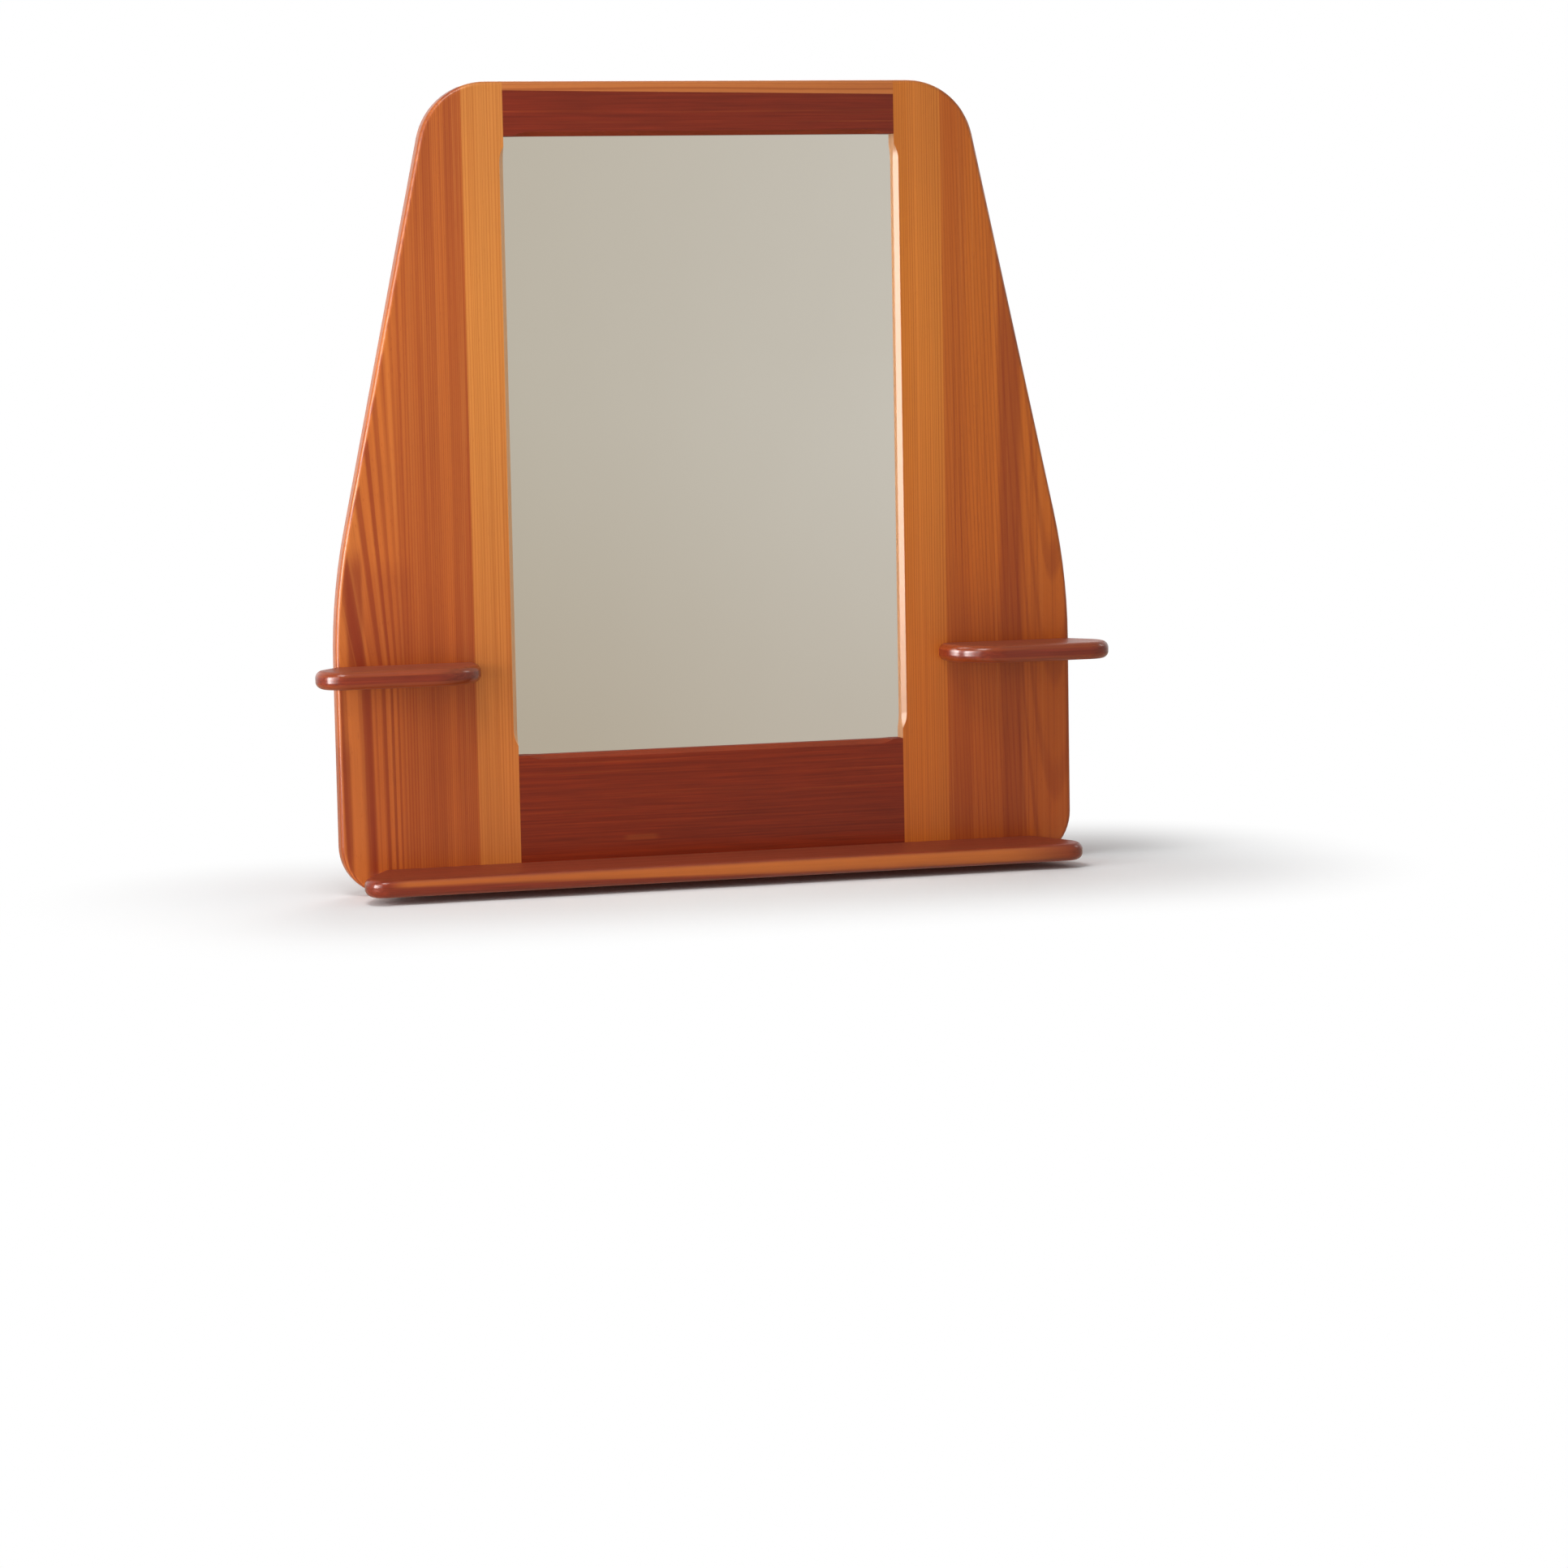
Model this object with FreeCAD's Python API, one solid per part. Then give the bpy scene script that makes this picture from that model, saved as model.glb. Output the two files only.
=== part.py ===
import FreeCAD, Part
import math
import os

# Wall mirror with a bottom shelf and two small side shelves, in lacquered pine.
# Two side boards, each glued up from a narrow and a wide stave, are joined by
# dowelled rails to a flat panel. The glass lies in a rebate behind the panel, under
# a hardboard back that turn buttons hold in. Keyhole plates in the back hang it up.
#
# Lengths are in millimetres. +X is to the right as seen from the front, +Y goes
# into the wall and +Z is up. The wall plane is Y = 0. The origin lies on it,
# midway between the entries of the two keyholes.

# Panel
panel_height = 900.0
panel_thickness = 20.0
opening_width = 452.5
board_bottom_width = 204.0
board_top_width = 81.0
knee_height = 334.0
knee_radius = 700.0
top_corner_radius = 78.0
bottom_corner_radius = 56.0
panel_edge_round = 5.0
left_inner_stave_width = 47.0
right_inner_stave_width = 55.0

# Rails between the side boards. The batten on top widens towards the right.
top_batten_left_height = 10.2
top_batten_right_height = 15.9
top_rail_left_height = 50.3
bottom_rail_height = 150.0

# Chamfer round the glass, which runs out before each corner
chamfer_width = 5.0
cutter_guide_radius = 29.0

# Glass and back panel in their rebate
rebate_width = 9.0
pane_edge_clearance = 1.0
pane_thickness = 4.0
back_panel_thickness = 3.0

# Shelves, screwed to the panel's front through their back edges
shelf_edge_round = 8.0
bottom_shelf_thickness = 20.0
bottom_shelf_top_height = 29.0
bottom_shelf_depth = 94.0
bottom_shelf_length = 834.0
bottom_shelf_back_length = 774.0
side_shelf_thickness = 20.0
side_shelf_top_height = 258.0
side_shelf_depth = 75.0
side_shelf_inner_inset = 45.0
side_shelf_overhang = 30.0
side_shelf_back_overhang = 8.0

# Dowels
dowel_radius = 4.0
dowel_length = 40.0
dowel_end_chamfer = 1.0
dowel_bore_spare = 1.5
shelf_dowel_length = 30.0

# Shelf screws
shelf_screw_radius = 2.0
shelf_screw_length = 45.0
shelf_screw_head_radius = 4.0
shelf_screw_head_depth = 2.2
shelf_screw_tip_length = 5.0
side_shelf_screw_inset = 31.0

# Keyhole hanger plates
hanger_drop = 100.0
hanger_inset = 19.75
hanger_plate_width = 20.0
hanger_plate_height = 64.0
hanger_plate_thickness = 2.0
hanger_plate_corner_radius = 5.0
keyhole_entry_radius = 5.0
keyhole_slot_radius = 2.6
keyhole_slot_rise = 12.0
wall_screw_pocket_depth = 9.0
wall_screw_pocket_margin = 1.5
hanger_screw_spacing = 50.0
hanger_screw_radius = 1.75
hanger_screw_length = 15.0
hanger_screw_head_radius = 3.2
hanger_screw_head_depth = 1.6
hanger_screw_tip_length = 3.0

# Turn buttons
button_half_length = 16.0
button_width = 12.0
button_thickness = 1.2
button_setback = 9.0
button_play = 0.15
button_swing_clearance = 1.0
button_screw_radius = 1.5
button_bore_clearance = 0.05
button_screw_length = 10.0
button_screw_tip_length = 2.5
button_screw_head_radius = 3.2
button_screw_head_thickness = 1.2
button_screw_head_sink = 0.3

# Screw slots
screw_slot_width = 0.9
screw_slot_depth = 0.7

# Places given as shares of the size that they follow
side_button_height_shares = (0.25, 0.75)
top_rail_dowel_shares = (0.36, 0.74)
bottom_rail_dowel_shares = (0.32, 0.55, 0.78)
shelf_screw_rail_share = 0.45
shelf_dowel_rail_share = 0.85
shelf_screw_board_share = 0.53
edge_round_limit_share = 0.45
bottom_shelf_bulge_depth_share = 0.62
bottom_shelf_front_radius_share = 0.24
side_shelf_bulge_depth_share = 0.38
side_shelf_front_radius_share = 0.4
side_shelf_inner_radius_share = 0.8
shelf_bulge_radius_share = 0.42

# One overrun serves all cuts that pass through a face
overrun = 2.0

# Levels and planes worked out from the sizes above
top_level = hanger_drop
foot_level = top_level - panel_height
opening_top = top_level - top_batten_left_height - top_rail_left_height
top_rail_right_height = top_level - top_batten_right_height - opening_top
opening_bottom = foot_level + bottom_rail_height
opening_height = opening_top - opening_bottom
opening_half = opening_width / 2
board_foot_half = opening_half + board_bottom_width
board_top_half = opening_half + board_top_width
rebate_half = opening_half + rebate_width
inner_stave_widths = {"left": left_inner_stave_width, "right": right_inner_stave_width}
front_plane = -panel_thickness
button_recess_depth = (button_play + button_thickness + button_play
                       + button_screw_head_thickness + button_screw_head_sink)
rebate_depth = pane_thickness + back_panel_thickness + button_recess_depth
hanger_x = rebate_half + hanger_inset
bottom_shelf_middle = foot_level + bottom_shelf_top_height - bottom_shelf_thickness / 2
side_shelf_middle = foot_level + side_shelf_top_height - side_shelf_thickness / 2
into_wood = FreeCAD.Vector(0, -1, 0)
full_turn = 360.0
sides = (("left", -1), ("right", 1))


def point(x, y, z):
    return FreeCAD.Vector(x, y, z)


def box(low, high):
    """Solid box between two opposite corners."""
    size = high - low
    return Part.makeBox(size.x, size.y, size.z, low)


def cylinder(radius, start, end):
    return Part.makeCylinder(radius, (end - start).Length, start, end - start)


def rounded_wire(corners):
    """Closed wire through flat corners, each (place, radius of its tangent arc)."""
    count = len(corners)
    stretches = []
    for index, (corner, radius) in enumerate(corners):
        to_last = (corners[index - 1][0] - corner).normalize()
        to_next = (corners[(index + 1) % count][0] - corner).normalize()
        half_angle = to_last.getAngle(to_next) / 2
        reach = radius / math.tan(half_angle)
        inward = (to_last + to_next).normalize()
        nearest = corner + inward * (radius / math.sin(half_angle) - radius)
        stretches.append((corner + to_last * reach, nearest, corner + to_next * reach, radius))
    edges = []
    for index, (start, nearest, end, radius) in enumerate(stretches):
        if radius > 0:
            edges.append(Part.Arc(start, nearest, end).toShape())
        edges.append(Part.LineSegment(end, stretches[(index + 1) % count][0]).toShape())
    return Part.Wire(edges)


def rectangle_wire(half_width, bottom, top, y, radius):
    """Upright rectangle about X = 0, with one radius at its four corners."""
    return rounded_wire([(point(-half_width, y, bottom), radius),
                         (point(half_width, y, bottom), radius),
                         (point(half_width, y, top), radius),
                         (point(-half_width, y, top), radius)])


def turned(profile, place):
    """Solid of revolution about Y. The profile is (radius, depth into the wood) pairs."""
    points = [place + point(radius, -depth, 0) for radius, depth in profile]
    face = Part.Face(Part.makePolygon(points + points[:1]))
    return face.revolve(place, into_wood, full_turn)


def cut_by(shape, tools):
    return shape.cut(Part.makeCompound(tools)) if tools else shape


def slotted(screw, place, head_radius):
    """Screw with a straight driver slot across its head."""
    reach = head_radius + overrun
    slot = box(place + point(-reach, -screw_slot_depth, -screw_slot_width / 2),
               place + point(reach, overrun, screw_slot_width / 2))
    return screw.cut(slot)


def shelf_screw(place):
    return turned([(0, 0),
                   (shelf_screw_head_radius, 0),
                   (shelf_screw_radius, shelf_screw_head_depth),
                   (shelf_screw_radius, shelf_screw_length - shelf_screw_tip_length),
                   (0, shelf_screw_length)], place)


def hanger_screw(place):
    return turned([(0, 0),
                   (hanger_screw_head_radius, 0),
                   (hanger_screw_radius, hanger_screw_head_depth),
                   (hanger_screw_radius, hanger_screw_length - hanger_screw_tip_length),
                   (0, hanger_screw_length)], place)


def button_screw(place):
    """Cheese-head pivot screw, with its head just below the wall plane."""
    return turned([(0, 0),
                   (button_screw_head_radius, 0),
                   (button_screw_head_radius, button_screw_head_thickness),
                   (button_screw_radius, button_screw_head_thickness),
                   (button_screw_radius, button_screw_length - button_screw_tip_length),
                   (0, button_screw_length)], place)


def dowel(start, end):
    """Round dowel with chamfered ends."""
    rod = cylinder(dowel_radius, start, end)
    rims = [edge for edge in rod.Edges if isinstance(edge.Curve, Part.Circle)]
    return rod.makeChamfer(dowel_end_chamfer, rims)


def dowel_bore(start, end):
    """Bore for a dowel, with a little room past both ends."""
    spare = (end - start).normalize() * dowel_bore_spare
    return cylinder(dowel_radius, start - spare, end + spare)


def whole_panel():
    """Flat panel with its outline, rounded front edge, opening, rebate and chamfer."""
    foot_half = board_foot_half
    knee_level = foot_level + knee_height
    outline = rounded_wire([
        (point(-foot_half, 0, foot_level), bottom_corner_radius),
        (point(foot_half, 0, foot_level), bottom_corner_radius),
        (point(foot_half, 0, knee_level), knee_radius),
        (point(board_top_half, 0, top_level), top_corner_radius),
        (point(-board_top_half, 0, top_level), top_corner_radius),
        (point(-foot_half, 0, knee_level), knee_radius)])
    blank = Part.Face(outline).extrude(point(0, front_plane, 0))
    front_edges = [edge for edge in blank.Edges
                   if abs(edge.BoundBox.YMax - front_plane) < panel_edge_round / 2]
    blank = blank.makeFillet(panel_edge_round, front_edges)
    opening = box(point(-opening_half, front_plane - overrun, opening_bottom),
                  point(opening_half, overrun, opening_top))
    rebate = box(point(-rebate_half, -rebate_depth, opening_bottom - rebate_width),
                 point(rebate_half, overrun, opening_top + rebate_width))
    chamfer = Part.makeLoft([
        rectangle_wire(opening_half + chamfer_width, opening_bottom - chamfer_width,
                       opening_top + chamfer_width, front_plane,
                       cutter_guide_radius + chamfer_width),
        rectangle_wire(opening_half, opening_bottom, opening_top,
                       front_plane + chamfer_width, cutter_guide_radius)], True, True)
    return cut_by(blank, [opening, rebate, chamfer])


def panel_slice(panel, x_low, x_high, z_low, z_high):
    """The stretch of the panel between two X planes and two Z planes."""
    return panel.common(box(point(x_low, front_plane - overrun, z_low),
                            point(x_high, overrun, z_high)))


def outlined_slice(panel, corners):
    """The stretch of the panel within an upright outline, given as (X, Z) corners."""
    points = [point(x, front_plane - overrun, z) for x, z in corners]
    face = Part.Face(Part.makePolygon(points + points[:1]))
    return panel.common(face.extrude(point(0, panel_thickness + 2 * overrun, 0)))


def shelf(corners, thickness):
    """Board of the given plan with its front and end edges rounded above and below."""
    solid = Part.Face(rounded_wire(corners)).extrude(point(0, 0, thickness))
    round_radius = min(shelf_edge_round, thickness * edge_round_limit_share)
    level_edges = [edge for edge in solid.Edges
                   if edge.BoundBox.ZLength < round_radius / 2
                   and edge.BoundBox.YMin < front_plane - round_radius / 2]
    return solid.makeFillet(round_radius, level_edges)


def bulged_end(back_x, end_x, bottom, depth, bulge_depth_share, front_radius_share):
    """Corners of a rounded shelf end, from the panel to the front edge."""
    return [(point(back_x, front_plane, bottom), 0),
            (point(end_x, front_plane - depth * bulge_depth_share, bottom),
             depth * shelf_bulge_radius_share),
            (point(end_x, front_plane - depth, bottom), depth * front_radius_share)]


def bottom_shelf():
    bottom = bottom_shelf_middle - bottom_shelf_thickness / 2
    back_half = bottom_shelf_back_length / 2
    half = bottom_shelf_length / 2
    left_end, right_end = [
        bulged_end(sign * back_half, sign * half, bottom, bottom_shelf_depth,
                   bottom_shelf_bulge_depth_share, bottom_shelf_front_radius_share)
        for side, sign in sides]
    return shelf(left_end + right_end[::-1], bottom_shelf_thickness)


def side_shelf(sign):
    bottom = side_shelf_middle - side_shelf_thickness / 2
    inner = sign * (opening_half + side_shelf_inner_inset)
    inner_end = [(point(inner, front_plane, bottom), 0),
                 (point(inner, front_plane - side_shelf_depth, bottom),
                  side_shelf_depth * side_shelf_inner_radius_share)]
    outer_end = bulged_end(sign * (board_foot_half + side_shelf_back_overhang),
                           sign * (board_foot_half + side_shelf_overhang), bottom,
                           side_shelf_depth, side_shelf_bulge_depth_share,
                           side_shelf_front_radius_share)
    return shelf(inner_end + outer_end[::-1], side_shelf_thickness)


def sheet(y_back, thickness):
    """Sheet that fills the rebate but for its edge clearance."""
    half = rebate_half - pane_edge_clearance
    low = opening_bottom - rebate_width
    high = opening_top + rebate_width - pane_edge_clearance
    return box(point(-half, y_back - thickness, low), point(half, y_back, high))


def hanger_plate(x):
    """Plate with two countersunk holes and a keyhole whose slot rises from its entry."""
    middle = keyhole_slot_rise / 2
    half_width = hanger_plate_width / 2
    half_height = hanger_plate_height / 2
    outline = rounded_wire([
        (point(x - half_width, 0, middle - half_height), hanger_plate_corner_radius),
        (point(x + half_width, 0, middle - half_height), hanger_plate_corner_radius),
        (point(x + half_width, 0, middle + half_height), hanger_plate_corner_radius),
        (point(x - half_width, 0, middle + half_height), hanger_plate_corner_radius)])
    return Part.Face(outline).extrude(point(0, -hanger_plate_thickness, 0))


def keyhole(x):
    depth = hanger_plate_thickness + overrun
    entry = cylinder(keyhole_entry_radius, point(x, overrun, 0), point(x, -depth, 0))
    seat = cylinder(keyhole_slot_radius, point(x, overrun, keyhole_slot_rise),
                    point(x, -depth, keyhole_slot_rise))
    slot = box(point(x - keyhole_slot_radius, -depth, 0),
               point(x + keyhole_slot_radius, overrun, keyhole_slot_rise))
    return entry.fuse([seat, slot])


def wall_screw_pocket(x):
    """Room in the wood behind the keyhole for the head of a wall screw."""
    half_width = keyhole_entry_radius + wall_screw_pocket_margin
    floor = -hanger_plate_thickness - wall_screw_pocket_depth
    outline = rounded_wire([
        (point(x - half_width, floor, -half_width), half_width / 2),
        (point(x + half_width, floor, -half_width), half_width / 2),
        (point(x + half_width, floor, keyhole_slot_rise + half_width), half_width / 2),
        (point(x - half_width, floor, keyhole_slot_rise + half_width), half_width / 2)])
    return Part.Face(outline).extrude(point(0, wall_screw_pocket_depth, 0))


def turn_button(pivot, along):
    """Flat two-armed button with round ends, held on its pivot screw."""
    across = along.cross(into_wood)
    arm = button_half_length - button_width / 2
    half_width = button_width / 2
    back = pivot + point(0, -button_screw_head_sink - button_screw_head_thickness - button_play, 0)
    tips = [back + along * button_half_length, back - along * button_half_length]
    shoulders = [back + along * (arm * u) + across * (half_width * v)
                 for u, v in ((1, -1), (1, 1), (-1, 1), (-1, -1))]
    outline = Part.Wire([
        Part.Arc(shoulders[0], tips[0], shoulders[1]).toShape(),
        Part.LineSegment(shoulders[1], shoulders[2]).toShape(),
        Part.Arc(shoulders[2], tips[1], shoulders[3]).toShape(),
        Part.LineSegment(shoulders[3], shoulders[0]).toShape()])
    body = Part.Face(outline).extrude(point(0, -button_thickness, 0))
    bore = cylinder(button_screw_radius + button_bore_clearance,
                    back + point(0, overrun, 0), back + point(0, -button_thickness - overrun, 0))
    return body.cut(bore)


def button_recess(pivot):
    return cylinder(button_half_length + button_swing_clearance,
                    pivot + point(0, -button_recess_depth, 0), pivot + point(0, overrun, 0))


# Fasteners and fittings, each list kept with the cuts that seat it
along_x = point(1, 0, 0)
along_z = point(0, 0, 1)
pivot_offset = rebate_half + button_setback
buttons = {}
for side, sign in sides:
    for level, share in zip(("lower", "upper"), side_button_height_shares):
        buttons[level + "_" + side + "_turn_button"] = (
            point(sign * pivot_offset, 0, opening_bottom + share * opening_height), along_x)
buttons["top_turn_button"] = (
    point(0, 0, opening_top + rebate_width + button_setback), along_z)
buttons["bottom_turn_button"] = (
    point(0, 0, opening_bottom - rebate_width - button_setback), along_z)

button_screw_places = [pivot + point(0, -button_screw_head_sink, 0)
                       for pivot, along in buttons.values()]
hanger_screw_places = [
    point(sign * hanger_x, 0, keyhole_slot_rise / 2 + end * hanger_screw_spacing / 2)
    for side, sign in sides for end in (-1, 1)]
shelf_screw_places = [
    point(sign * x, 0, bottom_shelf_middle) for side, sign in sides
    for x in (opening_half * shelf_screw_rail_share,
              opening_half + board_bottom_width * shelf_screw_board_share)]
side_screw_places = {
    side: [point(sign * x, 0, side_shelf_middle)
           for x in (opening_half + side_shelf_inner_inset + side_shelf_screw_inset,
                     board_foot_half - side_shelf_screw_inset)]
    for side, sign in sides}


def rail_dowel_spans(bottom, height, shares):
    """Start and end of each dowel across the joint between a rail and a side board."""
    spans = []
    for side, sign in sides:
        for share in shares:
            middle = point(sign * opening_half, front_plane / 2, bottom + share * height)
            half = point(sign * dowel_length / 2, 0, 0)
            spans.append((middle - half, middle + half))
    return spans


top_dowel_spans = rail_dowel_spans(
    opening_top, min(top_rail_left_height, top_rail_right_height), top_rail_dowel_shares)
bottom_dowel_spans = rail_dowel_spans(foot_level, bottom_rail_height, bottom_rail_dowel_shares)
shelf_dowel_spans = []
for side, sign in sides:
    joint = point(sign * opening_half * shelf_dowel_rail_share, front_plane, bottom_shelf_middle)
    half = point(0, shelf_dowel_length / 2, 0)
    shelf_dowel_spans.append((joint + half, joint - half))

wood_cuts = [dowel_bore(*span)
             for span in top_dowel_spans + bottom_dowel_spans + shelf_dowel_spans]
wood_cuts += [shelf_screw(place)
              for place in shelf_screw_places + side_screw_places["left"] + side_screw_places["right"]]
wood_cuts += [hanger_screw(place) for place in hanger_screw_places]
wood_cuts += [button_screw(place) for place in button_screw_places]
wood_cuts += [button_recess(pivot) for pivot, along in buttons.values()]
for side, sign in sides:
    wood_cuts.append(hanger_plate(sign * hanger_x))
    wood_cuts.append(wall_screw_pocket(sign * hanger_x))

# Wooden pieces
nodes = {}
panel = whole_panel()
for side, sign in sides:
    stave_line = opening_half + inner_stave_widths[side]
    for name, near, far in (("inner", opening_half, stave_line),
                            ("outer", stave_line, board_foot_half + overrun)):
        x_low, x_high = sorted((sign * near, sign * far))
        nodes[side + "_" + name + "_stave"] = panel_slice(
            panel, x_low, x_high, foot_level - overrun, top_level + overrun)
    nodes[side + "_side_shelf"] = side_shelf(sign)
batten_line = [(-opening_half, top_level - top_batten_left_height),
               (opening_half, top_level - top_batten_right_height)]
nodes["top_batten"] = outlined_slice(
    panel, batten_line + [(opening_half, top_level + overrun), (-opening_half, top_level + overrun)])
nodes["top_rail"] = outlined_slice(
    panel, [(-opening_half, opening_top - overrun), (opening_half, opening_top - overrun)]
    + batten_line[::-1])
nodes["bottom_rail"] = panel_slice(
    panel, -opening_half, opening_half, foot_level - overrun, opening_bottom + overrun)
nodes["bottom_shelf"] = bottom_shelf()
nodes = {name: cut_by(shape, wood_cuts) for name, shape in nodes.items()}

# Glass and back panel, against the lip and against each other
pane_back = -rebate_depth + pane_thickness
nodes["mirror_pane"] = sheet(pane_back, pane_thickness)
nodes["back_panel"] = sheet(pane_back + back_panel_thickness, back_panel_thickness)

# Dowels and screws, one node for each group of like pieces
nodes["top_rail_dowels"] = Part.makeCompound([dowel(*span) for span in top_dowel_spans])
nodes["bottom_rail_dowels"] = Part.makeCompound([dowel(*span) for span in bottom_dowel_spans])
nodes["bottom_shelf_dowels"] = Part.makeCompound([dowel(*span) for span in shelf_dowel_spans])
nodes["bottom_shelf_screws"] = Part.makeCompound(
    [slotted(shelf_screw(place), place, shelf_screw_head_radius) for place in shelf_screw_places])
for side, sign in sides:
    nodes[side + "_side_shelf_screws"] = Part.makeCompound(
        [slotted(shelf_screw(place), place, shelf_screw_head_radius)
         for place in side_screw_places[side]])
nodes["hanger_screws"] = Part.makeCompound(
    [slotted(hanger_screw(place), place, hanger_screw_head_radius) for place in hanger_screw_places])
nodes["turn_button_screws"] = Part.makeCompound(
    [slotted(button_screw(place), place, button_screw_head_radius) for place in button_screw_places])

# Hanger plates and turn buttons
plate_cuts = [hanger_screw(place) for place in hanger_screw_places]
for side, sign in sides:
    nodes[side + "_hanger_plate"] = cut_by(
        hanger_plate(sign * hanger_x), plate_cuts + [keyhole(sign * hanger_x)])
for name, (pivot, along) in buttons.items():
    nodes[name] = turn_button(pivot, along)

os.makedirs("parts", exist_ok=True)
for name, shape in nodes.items():
    shape.exportStep("parts/" + name + ".step")
    print(name, len(shape.Solids), "solids", round(shape.Volume), "mm3", shape.isValid())
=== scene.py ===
"""Wall mirror with shelf: finishes for its boards, rails, shelves, glass and fittings, and a plain stage."""

import math

import bpy
import numpy as np
from bpy.props import FloatProperty, FloatVectorProperty, PointerProperty
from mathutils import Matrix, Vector


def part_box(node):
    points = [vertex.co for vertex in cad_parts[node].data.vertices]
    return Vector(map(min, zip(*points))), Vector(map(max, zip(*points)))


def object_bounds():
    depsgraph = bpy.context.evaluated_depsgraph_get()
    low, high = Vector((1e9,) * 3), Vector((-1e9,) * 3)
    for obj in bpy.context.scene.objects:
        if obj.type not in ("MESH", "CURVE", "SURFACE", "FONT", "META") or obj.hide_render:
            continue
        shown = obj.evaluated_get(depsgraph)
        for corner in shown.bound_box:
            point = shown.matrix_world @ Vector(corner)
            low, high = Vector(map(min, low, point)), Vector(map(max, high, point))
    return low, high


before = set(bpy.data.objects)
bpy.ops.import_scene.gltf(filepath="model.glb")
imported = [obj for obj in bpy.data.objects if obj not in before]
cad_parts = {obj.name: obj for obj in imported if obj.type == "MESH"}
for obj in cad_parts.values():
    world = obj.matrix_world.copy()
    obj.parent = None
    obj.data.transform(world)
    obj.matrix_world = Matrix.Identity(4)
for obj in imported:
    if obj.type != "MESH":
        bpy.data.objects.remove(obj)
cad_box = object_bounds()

bl_info = {
    "name": "Wall mirror with shelf",
    "version": (1, 0, 0),
    "blender": (4, 5, 0),
    "location": "3D View > Sidebar > Wall mirror",
    "description": "Dresses a pine wall mirror with its shelves and sets a plain stage round it",
    "category": "Object",
}

MILLIMETRES = 1000.0
FULL_TURN = 2.0 * math.pi
WHITE = (1.0, 1.0, 1.0)
FOOT = cad_box[0].z
BOARD_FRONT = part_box("top_rail")[0].y * MILLIMETRES


def shade(red, green, blue):
    """Linear colour of a display colour given from 0 to 255."""
    parts = (value / 255.0 for value in (red, green, blue))
    return tuple(v / 12.92 if v <= 0.04045 else ((v + 0.055) / 1.055) ** 2.4 for v in parts)


# Second colours of the finishes
RED_STREAK = shade(136, 52, 24)
FAIR_STREAK = shade(220, 142, 70)
# Painted light on faces that look up
LIT_TOP_STAIN = shade(182, 114, 86)
GLASS_HAZE = (0.9, 0.9, 0.885)
DARK_PAINT = shade(92, 84, 78)
PALE_PAINT = shade(112, 103, 95)
BOARD_CLUMPS = shade(118, 82, 51)
BOARD_FIBRES = shade(168, 130, 90)
BEECH_LINES = shade(186, 142, 98)
BEECH_FLECKS = shade(150, 104, 66)
DULL_ZINC = shade(150, 152, 150)
TARNISH = shade(120, 84, 40)

# Patches in the wood, in millimetres across the grain, into the board and along the grain
SLOW_SWELL = (70.0, 70.0, 520.0)
QUICK_SWELL = (9.0, 14.0, 110.0)
FIBRE = (0.7, 0.9, 60.0)
LINES = (3.4, 4.0, 640.0)
HAIRS = (2.0, 2.5, 75.0)
MOTTLE = (55.0, 55.0, 240.0)
DUCTS = (0.8, 0.8, 11.0)

# Swells of the ring width and of the wide bands, and how far the noise bends the rings, in millimetres
RING_SWELL = 13.0
BAND_SWELL = 26.0
SLOW_BEND = 9.0
QUICK_BEND = 1.1

# Shares of a ring over which late wood begins and ends
LATE_BEGINS = 0.22
LATE_ENDS = (0.97, 0.82)

# Boards darker towards the foot, painted shade where the lamps light them less, and a little darker towards the top:
# heights in millimetres and tints
FOOT_SHADE_HEIGHTS = (-120.0, -740.0)
FOOT_SHADE_TINT = (0.92, 0.75, 0.68)
TOP_HEIGHTS = (-160.0, 80.0)
TOP_TINT = (0.92, 0.91, 0.97)

# How far from the middle the edges beside the glass end, where their lip colour is painted on as painted light, in
# millimetres
GLASS_EDGE = (233.0, 231.5)

# A face looks up, or along the grain, between these parts of its direction
LOOKS_UP = (0.7, 0.97)
END_FACE = (0.5, 0.9)

# Streaks bend more than the rings, and fade over a share of their height, up to a length in millimetres
STREAK_BEND = 1.5
STREAK_FADE = 0.4
LONGEST_FADE = 140.0
WHOLE_BOARD = (-900.0, 200.0)

# Pitch of the pressed screen on the hardboard, in millimetres
SCREEN_PITCH = 1.3

# Camera and floor: sensor in millimetres, the rest in metres
SENSOR_WIDTH = 36.0
FLOOR_RADIUS = 60.0
FLOOR_CORNERS = 96
FOOT_HALF_WIDTH = 0.42
FOOT_HALF_DEPTH = 0.06
SHADOW_FADE = (0.03, 0.4)
NEAR_FLOOR = 4.7

# Backdrop: sideways part of the direction from the left tone to the right one, and where white begins behind
RIGHT_TONE_SIDE = (0.08, 0.42)
WHITE_FLOOR = (0.5, 3.0)
WHITE_BACKDROP = (0.1, 0.5)

# Lamps: name, the setting with its power, place, target, width and height, and if only lacquer and metal show it
LAMPS = (
    ("window", "window_power", (-2.0, -1.6, 0.1), (0.0, 0.0, -0.3), (0.95, 2.1), False),
    ("pane", "pane_power", (-2.15, -0.65, -0.35), (0.1, 0.0, -0.35), (0.44, 1.1), False),
    ("left_sheen", "left_sheen", (-2.2, -0.8, -0.15), (0.0, 0.0, -0.4), (1.0, 1.4), True),
    ("right_sheen", "right_sheen", (2.1, -0.1, 0.45), (0.0, 0.0, -0.4), (0.35, 0.7), True),
    ("upper_left", "upper_power", (-0.8, -1.0, 1.5), (-0.1, 0.0, -0.3), (0.9, 0.9), False),
    ("rear", "rear_power", (0.9, 2.4, 1.3), (0.0, 0.0, -0.35), (1.8, 1.8), False),
)


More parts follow.
